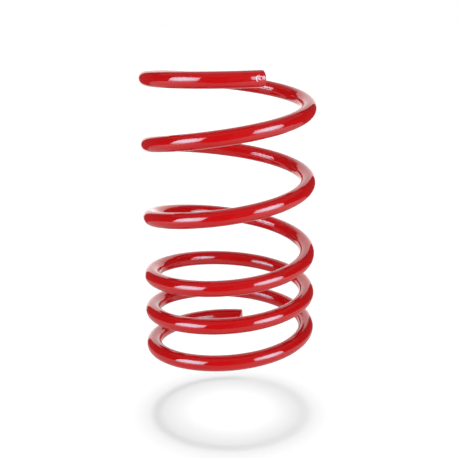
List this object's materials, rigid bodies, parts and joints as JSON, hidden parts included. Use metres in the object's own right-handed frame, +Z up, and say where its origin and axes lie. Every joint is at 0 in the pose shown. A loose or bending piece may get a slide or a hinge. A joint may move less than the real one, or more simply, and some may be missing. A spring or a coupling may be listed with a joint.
{
  "type": "coil spring",
  "caption": "Open-ended helical compression spring for a suspension strut, wound from one round bar with tight lower turns and wide upper turns, powder coated.",
  "frame": {"origin": "on the coil's axis, in the plane that the lowest turn rests on", "axes": "+Z up the coil's axis from the tight turns to the wide turns, -Y to the side that the upper cut end is nearest, right-handed helix"},
  "size_m": [0.147, 0.147, 0.2507],
  "materials": {
    "powder_coated_steel": "glossy red powder coat over shot-peened spring steel"
  },
  "bodies": {
    "lower_end_turn": {"turn_1_back": "powder_coated_steel", "turn_1_back_left": "powder_coated_steel", "turn_1_left": "powder_coated_steel", "turn_1_front_left": "powder_coated_steel"},
    "turn_1_front_body": {"turn_1_front": "powder_coated_steel"},
    "turn_1_front_right_body": {"turn_1_front_right": "powder_coated_steel"},
    "turn_1_right_body": {"turn_1_right": "powder_coated_steel"},
    "turn_1_back_right_body": {"turn_1_back_right": "powder_coated_steel"},
    "turn_2_back_body": {"turn_2_back": "powder_coated_steel"},
    "turn_2_back_left_body": {"turn_2_back_left": "powder_coated_steel"},
    "turn_2_left_body": {"turn_2_left": "powder_coated_steel"},
    "turn_2_front_left_body": {"turn_2_front_left": "powder_coated_steel"},
    "turn_2_front_body": {"turn_2_front": "powder_coated_steel"},
    "turn_2_front_right_body": {"turn_2_front_right": "powder_coated_steel"},
    "turn_2_right_body": {"turn_2_right": "powder_coated_steel"},
    "turn_2_back_right_body": {"turn_2_back_right": "powder_coated_steel"},
    "turn_3_back_body": {"turn_3_back": "powder_coated_steel"},
    "turn_3_back_left_body": {"turn_3_back_left": "powder_coated_steel"},
    "turn_3_left_body": {"turn_3_left": "powder_coated_steel"},
    "turn_3_front_left_body": {"turn_3_front_left": "powder_coated_steel"},
    "turn_3_front_body": {"turn_3_front": "powder_coated_steel"},
    "turn_3_front_right_body": {"turn_3_front_right": "powder_coated_steel"},
    "turn_3_right_body": {"turn_3_right": "powder_coated_steel"},
    "turn_3_back_right_body": {"turn_3_back_right": "powder_coated_steel"},
    "turn_4_back_body": {"turn_4_back": "powder_coated_steel"},
    "turn_4_back_left_body": {"turn_4_back_left": "powder_coated_steel"},
    "turn_4_left_body": {"turn_4_left": "powder_coated_steel"},
    "turn_4_front_left_body": {"turn_4_front_left": "powder_coated_steel"},
    "turn_4_front_body": {"turn_4_front": "powder_coated_steel"},
    "turn_4_front_right_body": {"turn_4_front_right": "powder_coated_steel"},
    "turn_4_right_body": {"turn_4_right": "powder_coated_steel"},
    "turn_4_back_right_body": {"turn_4_back_right": "powder_coated_steel"},
    "turn_5_back_body": {"turn_5_back": "powder_coated_steel"},
    "turn_5_back_left_body": {"turn_5_back_left": "powder_coated_steel"},
    "turn_5_left_body": {"turn_5_left": "powder_coated_steel"},
    "turn_5_front_left_body": {"turn_5_front_left": "powder_coated_steel"},
    "turn_5_front_body": {"turn_5_front": "powder_coated_steel"},
    "turn_5_front_right_body": {"turn_5_front_right": "powder_coated_steel"},
    "turn_5_right_body": {"turn_5_right": "powder_coated_steel"},
    "turn_5_back_right_body": {"turn_5_back_right": "powder_coated_steel"},
    "turn_6_back_body": {"turn_6_back": "powder_coated_steel"},
    "turn_6_back_left_body": {"turn_6_back_left": "powder_coated_steel"},
    "upper_end_turn": {"turn_6_left": "powder_coated_steel", "turn_6_front_left": "powder_coated_steel", "turn_6_front": "powder_coated_steel"}
  },
  "joints": [
    {"name": "spring_stroke", "type": "slide", "parent": "lower_end_turn", "child": "upper_end_turn", "axis": [0, 0, 1], "range_m": [-0.12, 0], "stiffness_N_per_m": 28000},
    {"name": "turn_1_front_stroke", "type": "slide", "parent": "lower_end_turn", "child": "turn_1_front_body", "axis": [0, 0, 1], "range_m": [-0.00093, 0]},
    {"name": "turn_1_front_right_stroke", "type": "slide", "parent": "lower_end_turn", "child": "turn_1_front_right_body", "axis": [0, 0, 1], "range_m": [-0.00269, 0]},
    {"name": "turn_1_right_stroke", "type": "slide", "parent": "lower_end_turn", "child": "turn_1_right_body", "axis": [0, 0, 1], "range_m": [-0.00446, 0]},
    {"name": "turn_1_back_right_stroke", "type": "slide", "parent": "lower_end_turn", "child": "turn_1_back_right_body", "axis": [0, 0, 1], "range_m": [-0.00621, 0]},
    {"name": "turn_2_back_stroke", "type": "slide", "parent": "lower_end_turn", "child": "turn_2_back_body", "axis": [0, 0, 1], "range_m": [-0.00797, 0]},
    {"name": "turn_2_back_left_stroke", "type": "slide", "parent": "lower_end_turn", "child": "turn_2_back_left_body", "axis": [0, 0, 1], "range_m": [-0.00974, 0]},
    {"name": "turn_2_left_stroke", "type": "slide", "parent": "lower_end_turn", "child": "turn_2_left_body", "axis": [0, 0, 1], "range_m": [-0.0115, 0]},
    {"name": "turn_2_front_left_stroke", "type": "slide", "parent": "lower_end_turn", "child": "turn_2_front_left_body", "axis": [0, 0, 1], "range_m": [-0.01325, 0]},
    {"name": "turn_2_front_stroke", "type": "slide", "parent": "lower_end_turn", "child": "turn_2_front_body", "axis": [0, 0, 1], "range_m": [-0.01502, 0]},
    {"name": "turn_2_front_right_stroke", "type": "slide", "parent": "lower_end_turn", "child": "turn_2_front_right_body", "axis": [0, 0, 1], "range_m": [-0.01678, 0]},
    {"name": "turn_2_right_stroke", "type": "slide", "parent": "lower_end_turn", "child": "turn_2_right_body", "axis": [0, 0, 1], "range_m": [-0.01853, 0]},
    {"name": "turn_2_back_right_stroke", "type": "slide", "parent": "lower_end_turn", "child": "turn_2_back_right_body", "axis": [0, 0, 1], "range_m": [-0.0203, 0]},
    {"name": "turn_3_back_stroke", "type": "slide", "parent": "lower_end_turn", "child": "turn_3_back_body", "axis": [0, 0, 1], "range_m": [-0.02206, 0]},
    {"name": "turn_3_back_left_stroke", "type": "slide", "parent": "lower_end_turn", "child": "turn_3_back_left_body", "axis": [0, 0, 1], "range_m": [-0.02383, 0]},
    {"name": "turn_3_left_stroke", "type": "slide", "parent": "lower_end_turn", "child": "turn_3_left_body", "axis": [0, 0, 1], "range_m": [-0.02558, 0]},
    {"name": "turn_3_front_left_stroke", "type": "slide", "parent": "lower_end_turn", "child": "turn_3_front_left_body", "axis": [0, 0, 1], "range_m": [-0.02734, 0]},
    {"name": "turn_3_front_stroke", "type": "slide", "parent": "lower_end_turn", "child": "turn_3_front_body", "axis": [0, 0, 1], "range_m": [-0.02931, 0]},
    {"name": "turn_3_front_right_stroke", "type": "slide", "parent": "lower_end_turn", "child": "turn_3_front_right_body", "axis": [0, 0, 1], "range_m": [-0.03218, 0]},
    {"name": "turn_3_right_stroke", "type": "slide", "parent": "lower_end_turn", "child": "turn_3_right_body", "axis": [0, 0, 1], "range_m": [-0.03616, 0]},
    {"name": "turn_3_back_right_stroke", "type": "slide", "parent": "lower_end_turn", "child": "turn_3_back_right_body", "axis": [0, 0, 1], "range_m": [-0.04066, 0]},
    {"name": "turn_4_back_stroke", "type": "slide", "parent": "lower_end_turn", "child": "turn_4_back_body", "axis": [0, 0, 1], "range_m": [-0.04521, 0]},
    {"name": "turn_4_back_left_stroke", "type": "slide", "parent": "lower_end_turn", "child": "turn_4_back_left_body", "axis": [0, 0, 1], "range_m": [-0.04975, 0]},
    {"name": "turn_4_left_stroke", "type": "slide", "parent": "lower_end_turn", "child": "turn_4_left_body", "axis": [0, 0, 1], "range_m": [-0.05429, 0]},
    {"name": "turn_4_front_left_stroke", "type": "slide", "parent": "lower_end_turn", "child": "turn_4_front_left_body", "axis": [0, 0, 1], "range_m": [-0.05883, 0]},
    {"name": "turn_4_front_stroke", "type": "slide", "parent": "lower_end_turn", "child": "turn_4_front_body", "axis": [0, 0, 1], "range_m": [-0.06337, 0]},
    {"name": "turn_4_front_right_stroke", "type": "slide", "parent": "lower_end_turn", "child": "turn_4_front_right_body", "axis": [0, 0, 1], "range_m": [-0.06791, 0]},
    {"name": "turn_4_right_stroke", "type": "slide", "parent": "lower_end_turn", "child": "turn_4_right_body", "axis": [0, 0, 1], "range_m": [-0.07245, 0]},
    {"name": "turn_4_back_right_stroke", "type": "slide", "parent": "lower_end_turn", "child": "turn_4_back_right_body", "axis": [0, 0, 1], "range_m": [-0.07699, 0]},
    {"name": "turn_5_back_stroke", "type": "slide", "parent": "lower_end_turn", "child": "turn_5_back_body", "axis": [0, 0, 1], "range_m": [-0.08153, 0]},
    {"name": "turn_5_back_left_stroke", "type": "slide", "parent": "lower_end_turn", "child": "turn_5_back_left_body", "axis": [0, 0, 1], "range_m": [-0.08607, 0]},
    {"name": "turn_5_left_stroke", "type": "slide", "parent": "lower_end_turn", "child": "turn_5_left_body", "axis": [0, 0, 1], "range_m": [-0.09061, 0]},
    {"name": "turn_5_front_left_stroke", "type": "slide", "parent": "lower_end_turn", "child": "turn_5_front_left_body", "axis": [0, 0, 1], "range_m": [-0.09515, 0]},
    {"name": "turn_5_front_stroke", "type": "slide", "parent": "lower_end_turn", "child": "turn_5_front_body", "axis": [0, 0, 1], "range_m": [-0.09969, 0]},
    {"name": "turn_5_front_right_stroke", "type": "slide", "parent": "lower_end_turn", "child": "turn_5_front_right_body", "axis": [0, 0, 1], "range_m": [-0.10424, 0]},
    {"name": "turn_5_right_stroke", "type": "slide", "parent": "lower_end_turn", "child": "turn_5_right_body", "axis": [0, 0, 1], "range_m": [-0.10876, 0]},
    {"name": "turn_5_back_right_stroke", "type": "slide", "parent": "lower_end_turn", "child": "turn_5_back_right_body", "axis": [0, 0, 1], "range_m": [-0.11308, 0]},
    {"name": "turn_6_back_stroke", "type": "slide", "parent": "lower_end_turn", "child": "turn_6_back_body", "axis": [0, 0, 1], "range_m": [-0.11667, 0]},
    {"name": "turn_6_back_left_stroke", "type": "slide", "parent": "lower_end_turn", "child": "turn_6_back_left_body", "axis": [0, 0, 1], "range_m": [-0.11919, 0]}
  ],
  "couplings": [
    {"joint": "turn_1_front_stroke", "follows": "spring_stroke", "ratio": 0.0073},
    {"joint": "turn_1_front_right_stroke", "follows": "spring_stroke", "ratio": 0.022},
    {"joint": "turn_1_right_stroke", "follows": "spring_stroke", "ratio": 0.0367},
    {"joint": "turn_1_back_right_stroke", "follows": "spring_stroke", "ratio": 0.0513},
    {"joint": "turn_2_back_stroke", "follows": "spring_stroke", "ratio": 0.066},
    {"joint": "turn_2_back_left_stroke", "follows": "spring_stroke", "ratio": 0.0807},
    {"joint": "turn_2_left_stroke", "follows": "spring_stroke", "ratio": 0.0954},
    {"joint": "turn_2_front_left_stroke", "follows": "spring_stroke", "ratio": 0.11},
    {"joint": "turn_2_front_stroke", "follows": "spring_stroke", "ratio": 0.1247},
    {"joint": "turn_2_front_right_stroke", "follows": "spring_stroke", "ratio": 0.1394},
    {"joint": "turn_2_right_stroke", "follows": "spring_stroke", "ratio": 0.154},
    {"joint": "turn_2_back_right_stroke", "follows": "spring_stroke", "ratio": 0.1687},
    {"joint": "turn_3_back_stroke", "follows": "spring_stroke", "ratio": 0.1834},
    {"joint": "turn_3_back_left_stroke", "follows": "spring_stroke", "ratio": 0.1981},
    {"joint": "turn_3_left_stroke", "follows": "spring_stroke", "ratio": 0.2127},
    {"joint": "turn_3_front_left_stroke", "follows": "spring_stroke", "ratio": 0.2274},
    {"joint": "turn_3_front_stroke", "follows": "spring_stroke", "ratio": 0.2438},
    {"joint": "turn_3_front_right_stroke", "follows": "spring_stroke", "ratio": 0.2677},
    {"joint": "turn_3_right_stroke", "follows": "spring_stroke", "ratio": 0.3009},
    {"joint": "turn_3_back_right_stroke", "follows": "spring_stroke", "ratio": 0.3384},
    {"joint": "turn_4_back_stroke", "follows": "spring_stroke", "ratio": 0.3763},
    {"joint": "turn_4_back_left_stroke", "follows": "spring_stroke", "ratio": 0.4141},
    {"joint": "turn_4_left_stroke", "follows": "spring_stroke", "ratio": 0.452},
    {"joint": "turn_4_front_left_stroke", "follows": "spring_stroke", "ratio": 0.4898},
    {"joint": "turn_4_front_stroke", "follows": "spring_stroke", "ratio": 0.5276},
    {"joint": "turn_4_front_right_stroke", "follows": "spring_stroke", "ratio": 0.5655},
    {"joint": "turn_4_right_stroke", "follows": "spring_stroke", "ratio": 0.6033},
    {"joint": "turn_4_back_right_stroke", "follows": "spring_stroke", "ratio": 0.6411},
    {"joint": "turn_5_back_stroke", "follows": "spring_stroke", "ratio": 0.679},
    {"joint": "turn_5_back_left_stroke", "follows": "spring_stroke", "ratio": 0.7168},
    {"joint": "turn_5_left_stroke", "follows": "spring_stroke", "ratio": 0.7546},
    {"joint": "turn_5_front_left_stroke", "follows": "spring_stroke", "ratio": 0.7925},
    {"joint": "turn_5_front_stroke", "follows": "spring_stroke", "ratio": 0.8303},
    {"joint": "turn_5_front_right_stroke", "follows": "spring_stroke", "ratio": 0.8682},
    {"joint": "turn_5_right_stroke", "follows": "spring_stroke", "ratio": 0.9059},
    {"joint": "turn_5_back_right_stroke", "follows": "spring_stroke", "ratio": 0.9419},
    {"joint": "turn_6_back_stroke", "follows": "spring_stroke", "ratio": 0.9718},
    {"joint": "turn_6_back_left_stroke", "follows": "spring_stroke", "ratio": 0.9928}
  ]
}
